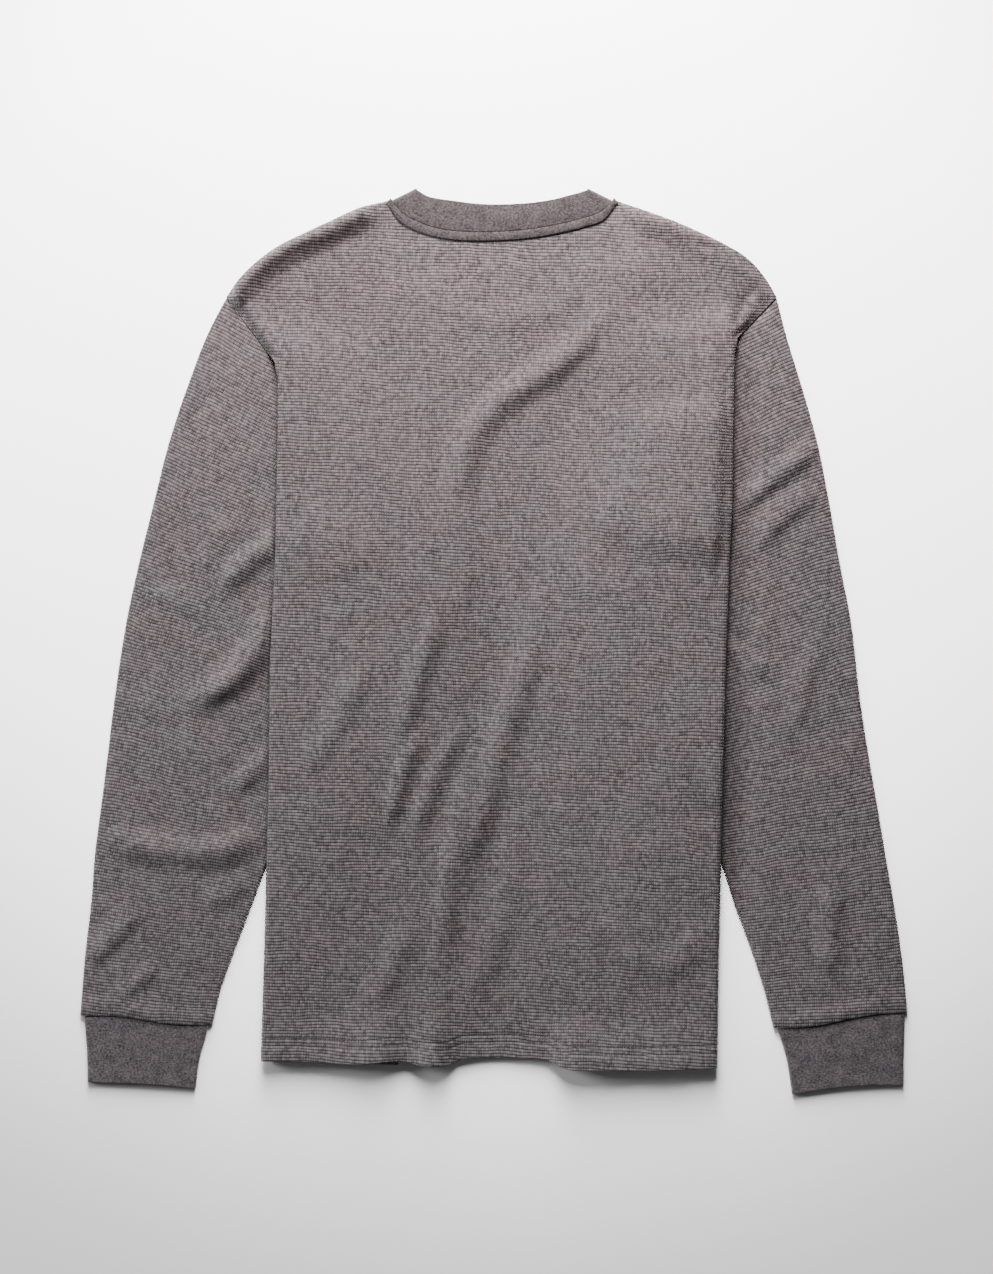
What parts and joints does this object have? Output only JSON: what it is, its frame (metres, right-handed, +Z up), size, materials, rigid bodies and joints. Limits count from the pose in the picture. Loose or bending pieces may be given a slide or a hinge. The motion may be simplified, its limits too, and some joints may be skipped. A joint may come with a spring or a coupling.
{
  "type": "long-sleeve thermal top",
  "caption": "Long-sleeve crew-neck thermal top in waffle knit with jersey cuffs and neckband, laid flat back side up with its body sides turned under.",
  "frame": {"origin": "middle of the laid-out top's bounding box, on the surface that it lies on", "axes": "+Y from the hem to the neck, +Z up from the surface, +X across to the wearer's right sleeve"},
  "size_m": [0.695, 0.762, 0.0152],
  "materials": {
    "waffle_knit": "matte waffle knit with a heathered yarn",
    "jersey_trim": "matte fine jersey"
  },
  "bodies": {
    "root": {"back_panel": "waffle_knit", "front_panel": "waffle_knit", "sleeve_left": "waffle_knit", "sleeve_right": "waffle_knit", "cuff_left": "jersey_trim", "cuff_right": "jersey_trim", "neckband": "jersey_trim", "neck_binding": "jersey_trim"}
  },
  "joints": []
}
